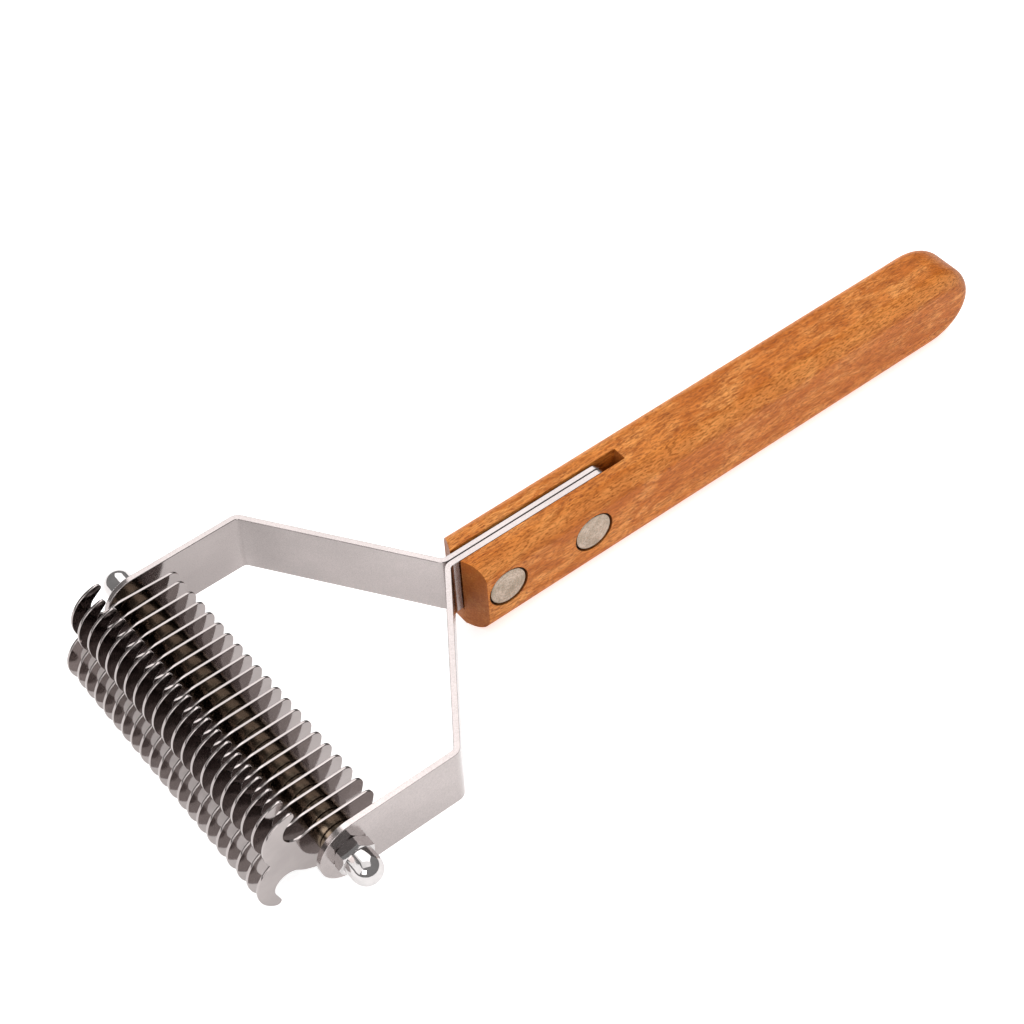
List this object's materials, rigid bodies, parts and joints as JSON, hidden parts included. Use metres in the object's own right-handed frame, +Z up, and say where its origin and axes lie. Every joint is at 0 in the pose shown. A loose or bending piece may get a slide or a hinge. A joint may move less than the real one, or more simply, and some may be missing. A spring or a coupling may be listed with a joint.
{
  "type": "deshedding rake",
  "caption": "Pet deshedding rake with double-hooked steel blades clamped on a cross rod between the arms of a steel fork, set in a slotted wooden handle.",
  "frame": {"origin": "middle of the cross rod's axis, halfway between the fork's arms", "axes": "+X back along the handle to its rear end, +Y along the cross rod to the left arm, +Z up towards the handle's top"},
  "size_m": [0.2408, 0.1062, 0.0316],
  "materials": {
    "wood": "amber lacquered hardwood with short dark grain flecks",
    "fork_steel": "satin rolled steel strip",
    "blade_steel": "mirror-polished sheet steel",
    "nut_chrome": "bright nickel-plated cap nut",
    "rod_steel": "plain steel threaded rod",
    "spacer_bronze": "dull bronze-brown round spacers",
    "rivet_steel": "flat steel rivet heads with faint turning marks"
  },
  "bodies": {
    "fork_and_handle": {"handle": "wood", "left_arm": "fork_steel", "right_arm": "fork_steel", "front_rivet": "rivet_steel", "rear_rivet": "rivet_steel", "cross_rod": "rod_steel"},
    "blade_pack": {"blade_01": "blade_steel", "blade_02": "blade_steel", "blade_03": "blade_steel", "blade_04": "blade_steel", "blade_05": "blade_steel", "blade_06": "blade_steel", "blade_07": "blade_steel", "blade_08": "blade_steel", "blade_09": "blade_steel", "blade_10": "blade_steel", "blade_11": "blade_steel", "blade_12": "blade_steel", "blade_13": "blade_steel", "blade_14": "blade_steel", "blade_15": "blade_steel", "blade_16": "blade_steel", "blade_17": "blade_steel", "blade_18": "blade_steel", "blade_19": "blade_steel", "blade_20": "blade_steel", "blade_21": "blade_steel", "spacer_01": "spacer_bronze", "spacer_02": "spacer_bronze", "spacer_03": "spacer_bronze", "spacer_04": "spacer_bronze", "spacer_05": "spacer_bronze", "spacer_06": "spacer_bronze", "spacer_07": "spacer_bronze", "spacer_08": "spacer_bronze", "spacer_09": "spacer_bronze", "spacer_10": "spacer_bronze", "spacer_11": "spacer_bronze", "spacer_12": "spacer_bronze", "spacer_13": "spacer_bronze", "spacer_14": "spacer_bronze", "spacer_15": "spacer_bronze", "spacer_16": "spacer_bronze", "spacer_17": "spacer_bronze", "spacer_18": "spacer_bronze", "spacer_19": "spacer_bronze", "spacer_20": "spacer_bronze", "spacer_21": "spacer_bronze", "spacer_22": "spacer_bronze"},
    "left_nut": {"left_cap_nut": "nut_chrome"},
    "right_nut": {"right_cap_nut": "nut_chrome"}
  },
  "joints": [
    {"name": "blade_pack_turn", "type": "hinge", "parent": "fork_and_handle", "child": "blade_pack", "pos_m": [0, 0, 0], "axis": [0, 1, 0], "continuous": true},
    {"name": "left_nut_turn", "type": "hinge", "parent": "fork_and_handle", "child": "left_nut", "pos_m": [0, 0.0435, 0], "axis": [0, 1, 0], "continuous": true},
    {"name": "right_nut_turn", "type": "hinge", "parent": "fork_and_handle", "child": "right_nut", "pos_m": [0, -0.0435, 0], "axis": [0, 1, 0], "continuous": true}
  ]
}
